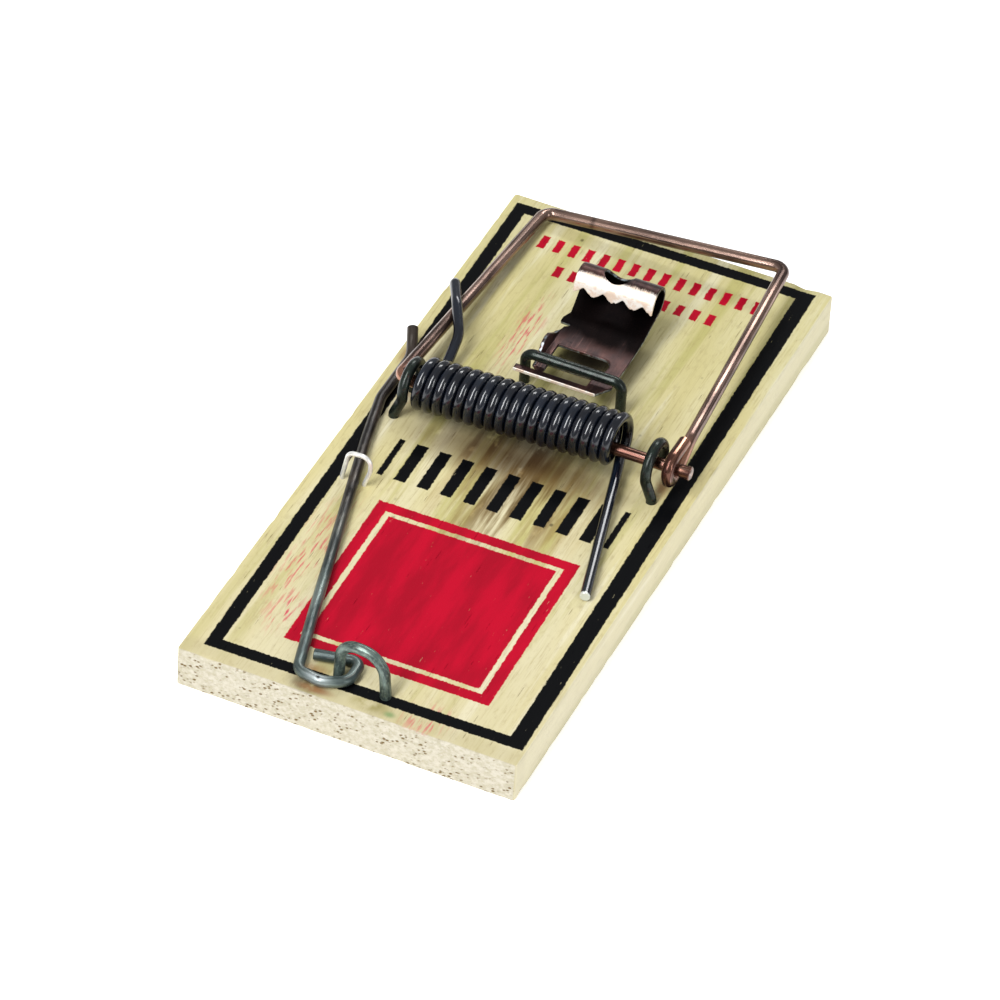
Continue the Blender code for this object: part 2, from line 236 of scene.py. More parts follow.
class Recipe:
    """One Principled material and short names for the nodes that feed it.

    place is the point in mm, and wire, on a tube, is the length along it and the two
    offsets from its centre line. Sizes are in mm.
    """

    def __init__(self, name):
        self.material = bpy.data.materials.new(name)
        self.material.use_nodes = True
        self.tree = self.material.node_tree
        self.shader = self.tree.nodes["Principled BSDF"]
        coordinates = self.tree.nodes.new("ShaderNodeTexCoord")
        self.place = self.vector("MULTIPLY", coordinates.outputs["Object"], [1 / MM] * 3)
        attribute = self.tree.nodes.new("ShaderNodeAttribute")
        attribute.attribute_name = "wire"
        self.wire = attribute.outputs["Vector"]

    def feed(self, socket, value):
        if isinstance(value, bpy.types.NodeSocket):
            self.tree.links.new(value, socket)
        else:
            socket.default_value = value

    def set(self, name, value):
        self.feed(self.shader.inputs[name], value)

    def colour(self, value):
        self.feed(self.shader.inputs["Base Color"], value)

    def vector(self, operation, first, second=(0, 0, 0)):
        node = self.tree.nodes.new("ShaderNodeVectorMath")
        node.operation = operation
        self.feed(node.inputs[0], first)
        self.feed(node.inputs[1], second)
        return node.outputs["Value" if operation == "LENGTH" else "Vector"]

    def math(self, operation, first, second=0.0):
        node = self.tree.nodes.new("ShaderNodeMath")
        node.operation = operation
        self.feed(node.inputs[0], first)
        self.feed(node.inputs[1], second)
        return node.outputs[0]

    def axes(self, source):
        node = self.tree.nodes.new("ShaderNodeSeparateXYZ")
        self.feed(node.inputs[0], source)
        return list(node.outputs)

    def joined(self, x, y, z):
        node = self.tree.nodes.new("ShaderNodeCombineXYZ")
        for socket, value in zip(node.inputs, (x, y, z)):
            self.feed(socket, value)
        return node.outputs[0]

    def pattern_place(self, size, stretch, source, seed):
        """source in units of size, stretch times as long on each axis, moved on by seed."""
        scale = [1 / (size * part) for part in stretch]
        scaled = self.vector("MULTIPLY", source or self.place, scale)
        return self.vector("ADD", scaled, [seed * part for part in SEED_SHIFT])

    def noise(
        self, size, detail=4.0, stretch=(1, 1, 1), source=None, seed=0.0, rough=0.55, twist=0.0
    ):
        """Fractal noise of that grain size."""
        node = self.tree.nodes.new("ShaderNodeTexNoise")
        node.inputs["Scale"].default_value = 1.0
        node.inputs["Detail"].default_value = detail
        node.inputs["Roughness"].default_value = rough
        node.inputs["Distortion"].default_value = twist
        self.feed(node.inputs["Vector"], self.pattern_place(size, stretch, source, seed))
        return node.outputs[0]

    def cells(self, size, stretch=(1, 1, 1), source=None, seed=0.0):
        """Distance to the nearest of points scattered about size apart."""
        node = self.tree.nodes.new("ShaderNodeTexVoronoi")
        node.inputs["Scale"].default_value = 1.0
        self.feed(node.inputs["Vector"], self.pattern_place(size, stretch, source, seed))
        return node.outputs["Distance"]

    def rise(self, value, low, high):
        """0 below low, 1 above high, and smooth between. With low above high it falls."""
        node = self.tree.nodes.new("ShaderNodeMapRange")
        node.interpolation_type = "SMOOTHSTEP"
        self.feed(node.inputs["Value"], value)
        if low > high:
            node.inputs["From Min"].default_value = high
            node.inputs["From Max"].default_value = low
            node.inputs["To Min"].default_value = 1.0
            node.inputs["To Max"].default_value = 0.0
        else:
            node.inputs["From Min"].default_value = low
            node.inputs["From Max"].default_value = high
        return node.outputs["Result"]

    def between(self, low, high, share):
        """The number that lies share of the way from low to high."""
        return self.math("ADD", self.math("MULTIPLY", share, high - low), low)

    def mix(self, share, first, second):
        node = self.tree.nodes.new("ShaderNodeMix")
        node.data_type = "RGBA"
        self.feed(node.inputs["Factor"], share)
        self.feed(node.inputs[MIX_COLOUR_A], first)
        self.feed(node.inputs[MIX_COLOUR_B], second)
        return node.outputs[MIX_COLOUR_RESULT]

    def over(self, under, tone, share, strength=1.0):
        """The colour under with tone laid over it, by strength where share is 1."""
        if strength != 1.0:
            share = self.math("MULTIPLY", share, strength)
        return self.mix(share, under, tone)

    def layered(self, under, layers):
        """The colour under with each (tone, share, strength) laid over it in turn."""
        for layer in layers:
            under = self.over(under, *layer)
        return under

    def times(self, *values):
        product = values[0]
        for value in values[1:]:
            product = self.math("MULTIPLY", product, value)
        return product

    def most(self, *values):
        largest = values[0]
        for value in values[1:]:
            largest = self.math("MAXIMUM", largest, value)
        return largest

    def bump(self, height, distance, strength):
        """Relief from height, 0 to 1, that stands distance mm high. It adds to earlier relief."""
        node = self.tree.nodes.new("ShaderNodeBump")
        node.inputs["Strength"].default_value = strength
        node.inputs["Distance"].default_value = distance * MM
        self.feed(node.inputs["Height"], height)
        earlier = self.shader.inputs["Normal"]
        if earlier.is_linked:
            self.feed(node.inputs["Normal"], earlier.links[0].from_socket)
        self.feed(earlier, node.outputs[0])


# The print is a little askew on the board: it has its own axes, turned about its own centre
PRINT_CENTRE, PRINT_TURN = (0.03, 0.6), math.radians(0.9)
# In those axes: centres, half sizes, and the pitch and width of bars and dashes
BORDER_LEFT, BORDER_RIGHT, BORDER_HALF_LENGTH = -20.52, 20.95, 47.35
BORDER_INNER_X, BORDER_INNER_Y = 18.77, 45.6
BARS = ((0.6, -6.0), (15.5, 3.7), 3.1, 1.55)
PANEL_CENTRE, PANEL_HALF = (0.9, -28.0), (13.4, 14.0)
RULE_INSET, RULE_HALF_WIDTH = 1.9, 0.35
LONG_DASHES = ((0.4, 41.4), (16.0, 1.3), 2.1, 1.0)
SHORT_DASHES = ((0.2, 36.6), (11.3, 1.1), 2.1, 1.0)
# How far ink strays from its edge, and how soft that edge is
INK_STRAY, INK_EDGE = 0.4, 0.07


def printed_axes(wood):
    """x and y in the print's own axes."""
    x, y, _ = wood.axes(wood.place)
    x = wood.math("SUBTRACT", x, PRINT_CENTRE[0])
    y = wood.math("SUBTRACT", y, PRINT_CENTRE[1])
    cos, sin = math.cos(PRINT_TURN), math.sin(PRINT_TURN)
    across = wood.math("ADD", wood.times(x, cos), wood.times(y, sin))
    along = wood.math("SUBTRACT", wood.times(y, cos), wood.times(x, sin))
    return across, along


def box_distance(wood, across, along, centre, half):
    """How far outside a rectangle a point is, in mm, and below 0 inside it."""
    dx = wood.math("ABSOLUTE", wood.math("SUBTRACT", across, centre[0]))
    dy = wood.math("ABSOLUTE", wood.math("SUBTRACT", along, centre[1]))
    return wood.most(
        wood.math("SUBTRACT", dx, half[0]), wood.math("SUBTRACT", dy, half[1])
    )


def print_masks(wood):
    """Where black ink lies, a border and a row of bars, and red ink, a ruled panel and dashes."""
    across, along = printed_axes(wood)
    bleed = wood.math("SUBTRACT", wood.noise(0.3, 5, (1, 2.2, 1), seed=1), 0.5)
    ragged = wood.math("MULTIPLY", bleed, INK_STRAY)

    def inked(distance):
        return wood.rise(wood.math("ADD", distance, ragged), INK_EDGE, -INK_EDGE)

    def dashes(centre, half, pitch, width):
        row = box_distance(wood, across, along, centre, half)
        step = wood.math("PINGPONG", wood.math("SUBTRACT", across, centre[0]), pitch / 2)
        gaps = wood.math("SUBTRACT", step, width / 2)
        return inked(wood.most(row, gaps))

    outer = box_distance(
        wood, across, along, ((BORDER_LEFT + BORDER_RIGHT) / 2, 0),
        ((BORDER_RIGHT - BORDER_LEFT) / 2, BORDER_HALF_LENGTH),
    )
    inner = box_distance(wood, across, along, (0, 0), (BORDER_INNER_X, BORDER_INNER_Y))
    border = inked(wood.most(outer, wood.math("MULTIPLY", inner, -1.0)))
    bars = dashes(*BARS)
    panel = box_distance(wood, across, along, PANEL_CENTRE, PANEL_HALF)
    rule = wood.math("ABSOLUTE", wood.math("ADD", panel, RULE_INSET))
    rule = wood.rise(
        wood.math("ADD", rule, ragged), RULE_HALF_WIDTH + INK_EDGE, RULE_HALF_WIDTH - INK_EDGE
    )
    red = wood.times(inked(panel), wood.math("SUBTRACT", 1.0, rule))
    lines = wood.most(dashes(*LONG_DASHES), dashes(*SHORT_DASHES))
    return wood.most(border, bars), wood.most(red, lines)


def spot(recipe, x, y, across, along):
    """1 at the centre (x, y) of an ellipse seen from above, falling to 0 at its rim, which lies
    across from the centre on X and along from it on Y."""
    px, py, _ = recipe.axes(recipe.place)
    dx = recipe.math("DIVIDE", recipe.math("SUBTRACT", px, x), across)
    dy = recipe.math("DIVIDE", recipe.math("SUBTRACT", py, y), along)
    distance = recipe.vector("LENGTH", recipe.joined(dx, dy, 0.0))
    return recipe.rise(distance, 1.0, 0.1)


# Dirt and ink stop where the board's rim turns down
RIM_DEPTH, RIM_FADE = 0.32, 0.2

# The board's plain wood
CREAM_WOOD, YELLOW_WOOD = srgb(214, 207, 174), srgb(201, 191, 140)
OLIVE_STREAK, PALE_STREAK = srgb(176, 170, 104), srgb(229, 224, 200)
BROWN_GRAIN, MOTTLE = srgb(152, 134, 88), srgb(140, 120, 80)
FRONT_STRIP, FRONT_WOOD, REAR_WOOD = srgb(178, 168, 130), srgb(194, 184, 146), srgb(186, 182, 126)
PALE_END, DARK_END, PALE_SIDE = srgb(195, 190, 178), srgb(172, 166, 148), srgb(224, 218, 196)
VESSEL, END_VESSEL = srgb(150, 126, 80), srgb(112, 92, 56)

# What lies on the wood, and painted shade on it
SMUDGE, OCHRE = srgb(116, 88, 52), srgb(172, 140, 78)
GRIME_AND_SHADE, DEEP_PEDAL_SHADE, DIRT = srgb(54, 36, 19), srgb(30, 25, 20), srgb(70, 60, 42)
RUST, RED_SMEAR = srgb(150, 88, 40), srgb(196, 46, 84)
RED_INK, DEEP_RED_INK, BLACK_INK = srgb(182, 8, 40), srgb(158, 8, 34), srgb(6, 7, 9)
BARE_WOOD_ROUGHNESS, INK_ROUGHNESS, WOOD_SHINE = 0.72, 0.58, 0.06


def bare_wood(wood, streak, fine):
    """The board's colour before dirt and ink, and its vessels, cut along and cut across."""
    x, y, z = wood.axes(wood.place)
    broad = wood.noise(9.0, 3, (1, 9, 1.5), seed=3)
    mottle = wood.noise(0.6, 6, (1, 2.5, 1), seed=21, rough=0.7)
    # Vessels run along the board: dashes on its faces and dots on its ends
    vessels = wood.cells(0.42, (1, 22, 1), seed=5)
    clump = wood.rise(wood.noise(1.6, 2, seed=6), 0.42, 0.6)
    pore = wood.times(wood.rise(vessels, 0.16, 0.06), clump)
    slant = wood.joined(
        wood.math("ADD", x, wood.times(z, 0.8)), y, wood.math("SUBTRACT", z, wood.times(x, 0.45))
    )
    ends = wood.rise(wood.math("ABSOLUTE", y), BASE_HIGH.y - 0.25, BASE_HIGH.y - 0.02)
    end_dots = wood.rise(wood.cells(0.5, (1.7, 40, 1), slant, seed=7), 0.42, 0.20)
    end_clump = wood.rise(wood.noise(1.1, 3, (2.2, 40, 1.0), slant, seed=8), 0.46, 0.60)
    end_pore = wood.times(end_dots, end_clump, ends)
    rings = wood.noise(0.7, 6, (1.4, 40, 1.0), slant, seed=9, rough=0.75)
    sides = wood.rise(wood.math("ABSOLUTE", x), BASE_HIGH.x - 0.2, BASE_HIGH.x - 0.05)
    colour = wood.mix(wood.rise(broad, 0.35, 0.65), CREAM_WOOD, YELLOW_WOOD)
    colour = wood.layered(colour, (
        (OLIVE_STREAK, wood.rise(streak, 0.50, 0.64), 0.85),
        (PALE_STREAK, wood.rise(streak, 0.42, 0.30), 0.7),
        (BROWN_GRAIN, wood.rise(fine, 0.50, 0.72), 0.42),
        (FRONT_WOOD, wood.rise(y, -5, -46), 0.45),
        (FRONT_STRIP, wood.rise(y, -45.5, -47.5), 0.5),
        (REAR_WOOD, wood.rise(y, 5, 40), 0.3),
        (MOTTLE, wood.rise(mottle, 0.5, 0.7), 0.22),
        (wood.mix(wood.rise(rings, 0.38, 0.62), PALE_END, DARK_END), ends, 0.85),
        (VESSEL, pore, 0.35),
        (END_VESSEL, end_pore, 0.95),
        (PALE_SIDE, sides, 0.55),
    ))
    return colour, wood.most(pore, end_pore)


def stained(wood, colour, on_top):
    """The board's top: grime, rust, red ink smears, specks of dirt, and painted shade under the
    coil and pedal.
    """
    cloud = wood.noise(1.8, 4, (1, 1.6, 1), seed=10)
    trail = wood.rise(wood.noise(1.5, 4, (1, 14, 1), seed=22), 0.42, 0.62)
    smudge = wood.times(spot(wood, 0.0, 0.2, 20.0, 6.0), wood.between(0.6, 1.0, trail), on_top)
    ochre = wood.times(spot(wood, 3.0, -7.0, 14.0, 15.0), trail, on_top)
    # Grime mixed with painted shade under the coil, painted shade under the pedal, and grime
    # trailing forward from the coil
    grime_and_shade_under_coil = wood.times(spot(wood, -1.0, 2.6, 19.0, 8.0), wood.between(0.8, 1.0, trail))
    dragged_down = wood.times(spot(wood, 2.5, -5.0, 11.0, 18.0), trail, 0.8)
    grime_and_shade_by_coil = wood.times(
        wood.most(grime_and_shade_under_coil, dragged_down), wood.rise(cloud, 0.14, 0.44), on_top, 0.95
    )
    # Painted shade on the wood under the pedal
    pedal_shade_mask = wood.times(spot(wood, 0.6, 24.0, 7.0, 10.0), on_top, 0.8)
    under_loop = wood.times(
        wood.most(spot(wood, -5.6, -47.6, 3.6, 2.4), spot(wood, 3.5, -45.4, 1.6, 1.6)),
        wood.rise(cloud, 0.3, 0.6), on_top, 0.8,
    )
    rust = wood.most(
        spot(wood, -20.6, 13.4, 1.7, 4.2), spot(wood, -6.2, -45.4, 3.4, 2.2),
        spot(wood, -17.7, 4.6, 1.5, 4.4), spot(wood, 17.6, 4.4, 1.4, 4.0),
    )
    colour = wood.layered(colour, (
        (SMUDGE, smudge, 0.9),
        (OCHRE, ochre, 0.7),
        # Grime, with painted shade under the coil and the pedal
        (GRIME_AND_SHADE, wood.most(grime_and_shade_by_coil, pedal_shade_mask, under_loop)),
        # Painted shadow, nearly black, under the middle of the pedal
        (DEEP_PEDAL_SHADE, wood.times(spot(wood, -0.6, 22.6, 6.5, 3.6), on_top), 0.9),
        (RUST, wood.times(rust, wood.rise(cloud, 0.35, 0.6), on_top), 0.6),
    ))
    # Olive, green and rusty stains on the strip before the loop
    broken = wood.times(wood.rise(cloud, 0.28, 0.52), on_top, 0.8)
    for stain_x, stain_y, across, along, tone in (
        (2.4, -47.4, 3.6, 1.7, srgb(142, 132, 70)),
        (5.2, -48.0, 1.1, 0.8, srgb(116, 142, 92)),
        (-4.6, -48.1, 3.4, 1.0, srgb(150, 106, 70)),
    ):
        stain = wood.times(spot(wood, stain_x, stain_y, across, along), broken)
        colour = wood.mix(stain, colour, tone)
    # Red ink is dragged along the grain in four places
    smeared = wood.most(
        spot(wood, -9.8, 24.0, 2.4, 11.0), wood.times(spot(wood, -15.5, -27.0, 4.0, 17.0), 0.8),
        spot(wood, -13.8, -37.2, 2.6, 6.0), wood.times(spot(wood, 9.5, -46.6, 4.5, 4.0), 0.9),
    )
    dragged = wood.rise(wood.noise(0.4, 5, (1, 9, 1), seed=11), 0.50, 0.64)
    specks = wood.times(
        wood.rise(wood.cells(3.6, (1, 1.3, 1), seed=23), 0.10, 0.04),
        wood.rise(wood.noise(6.0, 2, seed=24), 0.5, 0.6), on_top,
    )
    return wood.layered(colour, (
        (RED_SMEAR, wood.times(smeared, dragged, on_top), 0.9),
        (DIRT, specks, 0.7),
    ))


def wood_material():
    wood = Recipe("printed_pine")
    _, _, z = wood.axes(wood.place)
    on_top = wood.rise(z, BOARD_TOP - RIM_DEPTH, BOARD_TOP - RIM_DEPTH + RIM_FADE)
    # The streaks run along the board and wander a little
    streak = wood.noise(3.4, 6, (1, 22, 1.6), seed=5, twist=0.3)
    fine = wood.noise(0.2, 5, (1, 26, 1), seed=4)
    colour, pores = bare_wood(wood, streak, fine)
    colour = stained(wood, colour, on_top)
    # The ink misses small spots along the grain
    black, red = print_masks(wood)
    misses = wood.rise(wood.noise(0.28, 4, (1, 6, 1), seed=12), 0.70, 0.78)
    cover = wood.times(on_top, wood.math("SUBTRACT", 1.0, wood.times(misses, 0.5)))
    depth = wood.rise(wood.noise(3.0, 4, (1, 5, 1), seed=13), 0.35, 0.65)
    colour = wood.over(colour, wood.mix(depth, RED_INK, DEEP_RED_INK), wood.times(red, cover))
    wood.colour(wood.over(colour, BLACK_INK, wood.times(black, cover)))
    ink = wood.times(wood.most(black, red), cover)
    roughness = wood.between(BARE_WOOD_ROUGHNESS, INK_ROUGHNESS, ink)
    wood.set("Roughness", wood.math("ADD", roughness, wood.times(fine, 0.1)))
    wood.set("Specular IOR Level", WOOD_SHINE)
    wood.bump(streak, 0.10, 0.5)
    wood.bump(fine, 0.05, 0.7)
    wood.bump(wood.math("SUBTRACT", 1.0, pores), 0.12, 0.8)
    saw = wood.noise(0.5, 4, (8, 1, 0.7), seed=14)
    wood.bump(wood.times(saw, wood.math("SUBTRACT", 1.0, on_top)), 0.10, 0.7)
    return wood.material


def hammer_material():
    metal = Recipe("copper_plated_wire")
    along, _, _ = metal.axes(metal.wire)
    x, y, _ = metal.axes(metal.place)
    drawn = metal.noise(0.3, 4, (40, 1, 1), metal.wire, seed=1)
    patch = metal.noise(1.6, 4, (6, 1, 1), metal.wire, seed=2)
    patchy = metal.rise(patch, 0.38, 0.62)
    nick = spot(metal, -9.9, 46.0, 0.5, 2.0)
    rubbed = metal.layered(metal.mix(patchy, srgb(146, 120, 108), srgb(78, 62, 56)), (
        (srgb(206, 176, 166), metal.rise(drawn, 0.5, 0.75), 0.6),
        (srgb(40, 34, 32), nick, 0.6),
    ))
    fresh = metal.mix(patchy, srgb(176, 128, 106), srgb(74, 46, 38))
    fresh = metal.over(fresh, srgb(236, 206, 190), metal.rise(drawn, 0.55, 0.75), 0.6)
    # Plating is still fresh along the axle, which is the wire's first stretch, and round the eye
    near_axle = metal.rise(along, 46.0, 38.0)
    near_eye = metal.times(metal.rise(x, 17.0, 18.0), metal.rise(y, 12.0, 8.0))
    metal.colour(metal.mix(metal.most(near_axle, near_eye), rubbed, fresh))
    metal.set("Metallic", 0.8)
    metal.set("Roughness", metal.between(0.14, 0.28, patch))
    metal.bump(drawn, 0.004, 0.5)
    return metal.material


def spring_material():
    metal = Recipe("oil_tempered_spring_wire")
    _, y, _ = metal.axes(metal.place)
    drawn = metal.noise(0.22, 4, (22, 1, 1), metal.wire, seed=1)
    patch = metal.noise(1.4, 4, (4, 1, 1), metal.wire, seed=2)
    tone = metal.mix(metal.rise(patch, 0.4, 0.65), srgb(7, 12, 22), srgb(15, 23, 36))
    metal.colour(metal.layered(tone, (
        (srgb(70, 84, 102), metal.rise(drawn, 0.6, 0.8), 0.35),
        # The leg's cut end is bare
        (srgb(206, 212, 204), metal.rise(y, -18.55, -18.8)),
    )))
    metal.set("Metallic", 0.12)
    metal.set("IOR", 1.72)
    metal.set("Roughness", metal.between(0.14, 0.23, patch))
    metal.bump(drawn, 0.003, 0.5)
    return metal.material


def patina_material(name, light, dark, green, roughness, rust=0.15, metallic=0.45):
    """Steel under a thin dull film, mottled with a second tone and a little rust."""
    metal = Recipe(name)
    patch = metal.noise(0.9, 5, (2.4, 1, 1), metal.wire, seed=1)
    fleck = metal.noise(0.22, 4, (2, 1, 1), metal.wire, seed=2)
    metal.colour(metal.layered(metal.mix(metal.rise(patch, 0.36, 0.62), light, dark), (
        (green, metal.rise(fleck, 0.48, 0.66), 0.5),
        (srgb(120, 70, 40), metal.rise(metal.noise(0.5, 4, seed=3), 0.6, 0.7), rust),
    )))
    metal.set("Metallic", metallic)
    metal.set("Roughness", metal.between(roughness - 0.10, roughness + 0.10, patch))
    metal.bump(fleck, 0.015, 0.6)
    return metal.material


def lock_bar_material():
    metal = Recipe("dull_lock_bar_wire")
    _, y, _ = metal.axes(metal.place)
    patch = metal.noise(1.1, 5, (4, 1, 1), metal.wire, seed=1)
    drawn = metal.noise(0.25, 4, (10, 1, 1), metal.wire, seed=2)
    patchy = metal.rise(patch, 0.36, 0.62)
    front = metal.mix(patchy, srgb(112, 126, 122), srgb(62, 74, 74))
    rear = metal.mix(patchy, srgb(66, 58, 52), srgb(34, 31, 30))
    metal.colour(metal.layered(metal.mix(metal.rise(y, -40.0, -12.0), front, rear), (
        (srgb(150, 146, 138), metal.rise(drawn, 0.55, 0.75), 0.45),
        # The loop is rubbed bright in front, round a dark nick
        (srgb(176, 184, 186), spot(metal, -4.6, -47.3, 2.2, 0.9), 0.7),
        (srgb(30, 30, 32), spot(metal, -4.5, -47.4, 0.4, 0.35)),
    )))
    metal.set("Metallic", 0.5)
    metal.set("Roughness", metal.between(0.26, 0.44, patch))
    metal.bump(drawn, 0.012, 0.6)
    return metal.material


def pedal_material():
    """On the pedal, wire is the place on the flat blank: x, length along it and depth."""
    metal = Recipe("copper_coated_sheet")
    _, along, height = metal.axes(metal.wire)
    patch = metal.noise(2.6, 5, (1, 1.6, 1), metal.wire, seed=1)
    rolled = metal.noise(0.3, 4, (1, 16, 1), metal.wire, seed=2)
    pits = metal.rise(metal.noise(0.35, 3, source=metal.wire, seed=3), 0.66, 0.72)
    # Painted shade: the hollow of the curl and the sheet before it are painted almost black, and
    # made more metallic and rougher there, for the shade inside the curl
    flow = metal.times(metal.math("SUBTRACT", patch, 0.5), 6.0)
    curl_shade = metal.times(
        metal.rise(height, -0.05, 0.1),
        metal.rise(metal.math("SUBTRACT", along, flow), 7.0, 10.5),
        metal.rise(along, BLANK_LENGTH - 1.8, BLANK_LENGTH - 3.4),
    )
    # Painted highlight on the bare sheared edges, which lie at the sheet's middle depth
    bare_edge_glint = metal.rise(metal.math("ABSOLUTE", height), 0.2, 0.1)
    bare_edge_glint = metal.times(bare_edge_glint, metal.rise(metal.noise(0.8, 3, seed=6), 0.4, 0.6))
    # Plating has come off the front edge, and off the lip and its teeth up to a ragged line. That
    # bare metal is painted near white, its own colour with a painted highlight in it
    ragged = metal.noise(1.1, 4, (1, 0.8, 1), metal.wire, seed=4)
    hairs = metal.noise(0.12, 3, (1, 5, 1), metal.wire, seed=7)
    start = along
    for stray in (ragged, hairs):
        start = metal.math("ADD", start, metal.times(metal.math("SUBTRACT", stray, 0.5), 0.9))
    bare_and_highlit = metal.rise(start, BLANK_LENGTH - 3.0, BLANK_LENGTH - 2.5)
    bare_and_highlit = metal.most(bare_and_highlit, metal.rise(along, 0.16, 0.04))
    bare_highlight_tone = metal.mix(metal.rise(ragged, 0.4, 0.6), srgb(255, 248, 240), srgb(240, 216, 196))
    plated = metal.mix(metal.rise(patch, 0.38, 0.62), srgb(86, 58, 54), srgb(50, 35, 35))
    metal.colour(metal.layered(plated, (
        (srgb(136, 98, 90), metal.rise(rolled, 0.55, 0.8), 0.4),
        # Painted shade inside the curl
        (srgb(12, 9, 10), curl_shade, 0.97),
        (srgb(20, 15, 15), pits, 0.8),
        # Sheared edges are worn to a cold grey, painted pale enough to stand for their highlights
        # too
        (srgb(150, 162, 168), bare_edge_glint, 0.8),
        # Bare metal with its painted highlight
        (bare_highlight_tone, bare_and_highlit),
    )))
    metallic = metal.between(0.7, 0.25, bare_and_highlit)
    metal.set("Metallic", metal.math("ADD", metallic, metal.times(curl_shade, 0.3)))
    roughness = metal.between(0.30, 0.46, patch)
    metal.set("Roughness", metal.math("ADD", roughness, metal.times(curl_shade, 0.2)))
    metal.bump(rolled, 0.012, 0.5)
    metal.bump(metal.math("SUBTRACT", 1.0, pits), 0.04, 0.7)
    return metal.material


# ---------------------------------------------------------------- wire pieces


def rounded(corners, steps=12):
    """The points of a wire through corners (x, y, z, bend radius), each bend a circular arc."""
    points = [Vector(corners[0][:3])]
    for before, corner, after in zip(corners, corners[1:], corners[2:]):
        here = Vector(corner[:3])
        back = (Vector(before[:3]) - here).normalized()
        ahead = (Vector(after[:3]) - here).normalized()
        half = back.angle(ahead) / 2
        centre = here + (back + ahead).normalized() * (corner[3] / math.sin(half))
        spoke = here + back * (corner[3] / math.tan(half)) - centre
        turn = math.pi - 2 * half
        axis = ahead.cross(back).normalized()
        for i in range(steps + 1):
            points.append(centre + Quaternion(axis, turn * i / steps) @ spoke)
    points.append(Vector(corners[-1][:3]))
    return points


def divided(points):
    """The same path with points no further apart than LONGEST_STEP."""
    path = [points[0]]
    for start, end in zip(points, points[1:]):
        gap = (end - start).length
        if gap < SAME_POINT:
            continue
        count = max(1, math.ceil(gap / LONGEST_STEP))
        path += [start.lerp(end, i / count) for i in range(1, count + 1)]
    return path


def wire_mesh(name, points, radius, sides=24, swell=None, chamfer=0.12):
    """A round wire along points, with chamfered cut ends. swell(along, turn) scales the radius."""
    path = divided(points)
    lengths = [0.0]
    for start, end in zip(path, path[1:]):
        lengths.append(lengths[-1] + (end - start).length)
    total = lengths[-1]
    tangents = []
    for i in range(len(path)):
        ahead = path[min(i + 1, len(path) - 1)] - path[max(i - 1, 0)]
        tangents.append(ahead.normalized())
    side = tangents[0].orthogonal().normalized()
    rings = []
    for i, (point, along) in enumerate(zip(path, lengths)):
        if i:
            side = tangents[i - 1].rotation_difference(tangents[i]) @ side
            side = (side - tangents[i] * side.dot(tangents[i])).normalized()
        rings.append((point, along, tangents[i], side))
    first, last = rings[0], rings[-1]
    cut = chamfer * radius
    rings = (
        [(first[0], first[1], first[2], first[3], 1 - chamfer)]
        + [(first[0] + first[2] * cut, cut, first[2], first[3], 1.0)]
        + [(*ring, 1.0) for ring in rings[1:-1] if cut < ring[1] < total - cut]
        + [(last[0] - last[2] * cut, total - cut, last[2], last[3], 1.0)]
        + [(*last, 1 - chamfer)]
    )
    vertices, places = [], []
    for centre, along, tangent, spoke, share in rings:
        across = tangent.cross(spoke)
        for j in range(sides):
            turn = math.tau * j / sides
            reach = radius * share
            if swell:
                reach *= swell(along, turn)
            offset = spoke * math.cos(turn) + across * math.sin(turn)
            vertices.append((centre + offset * reach) * MM)
            places.append((along, radius * math.cos(turn), radius * math.sin(turn)))
    faces = []
    for i in range(len(rings) - 1):
        for j in range(sides):
            k = (j + 1) % sides
            faces.append((i * sides + j, i * sides + k, (i + 1) * sides + k, (i + 1) * sides + j))
    # Each cut end is a fan round its own centre point
    for ring, centre, order in ((0, first, -1), (len(rings) - 1, last, 1)):
        hub = len(vertices)
        vertices.append(centre[0] * MM)
        places.append((centre[1], 0.0, 0.0))
        for j in range(sides):
            pair = (ring * sides + j, ring * sides + (j + 1) % sides)
            faces.append((hub, *pair[::order]))
    mesh = bpy.data.meshes.new(name)
    mesh.from_pydata(vertices, [], faces)
    attribute = mesh.attributes.new("wire", "FLOAT_VECTOR", "POINT")
    attribute.data.foreach_set("vector", [value for place in places for value in place])
    mesh.shade_smooth()
    mesh.set_sharp_from_angle(angle=WIRE_CREASE)
    return mesh


def show(name, mesh, material, node, body=None):
    """Adds the piece, in place of its CAD node, and fixes it to its body."""
    piece = bpy.data.objects.new(name, mesh)
    bpy.context.scene.collection.objects.link(piece)
    mesh.materials.append(material)
    if body:
        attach(piece, body)
    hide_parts(node)
    return piece


def uneven(amount, seed=0.0):
    """A swell that makes the wire slightly out of round and lumpy."""
    def swell(along, turn):
        place = Vector((along / LUMP_LENGTH, math.cos(turn) + seed, math.sin(turn)))
        return 1.0 + amount * noise.noise(place)
    return swell


def make_axle_staples(metal):
    arch_z = STAPLE_CROWN_Z - STAPLE_HALF_SPAN
    front, rear = AXLE_Y - STAPLE_HALF_SPAN, AXLE_Y + STAPLE_HALF_SPAN
    for side, name in ((-1, "axle_staple_left"), (1, "axle_staple_right")):
        foot, arch = side * STAPLE_FOOT_X, side * STAPLE_ARCH_X
        leg = rounded([
            (foot, front, FOOT_Z, 0),
            (foot, front, BOARD_TOP + 0.4, 1.5),
            (arch, front, STAPLE_BEND_Z, 1.5),
            (arch, front, arch_z, 0),
        ], steps=5)
        bow = [
            Vector((
                arch,
                AXLE_Y - STAPLE_HALF_SPAN * math.cos(turn),
                arch_z + STAPLE_HALF_SPAN * math.sin(turn),
            ))
            for turn in (math.pi * i / BOW_STEPS for i in range(BOW_STEPS + 1))
        ]
        other = [Vector((point.x, rear, point.z)) for point in reversed(leg)]
        mesh = wire_mesh(
            name, leg + bow + other, STAPLE_RADIUS, swell=uneven(0.03, seed=side)
        )
        show(name + "_wire", mesh, metal, name, "base")


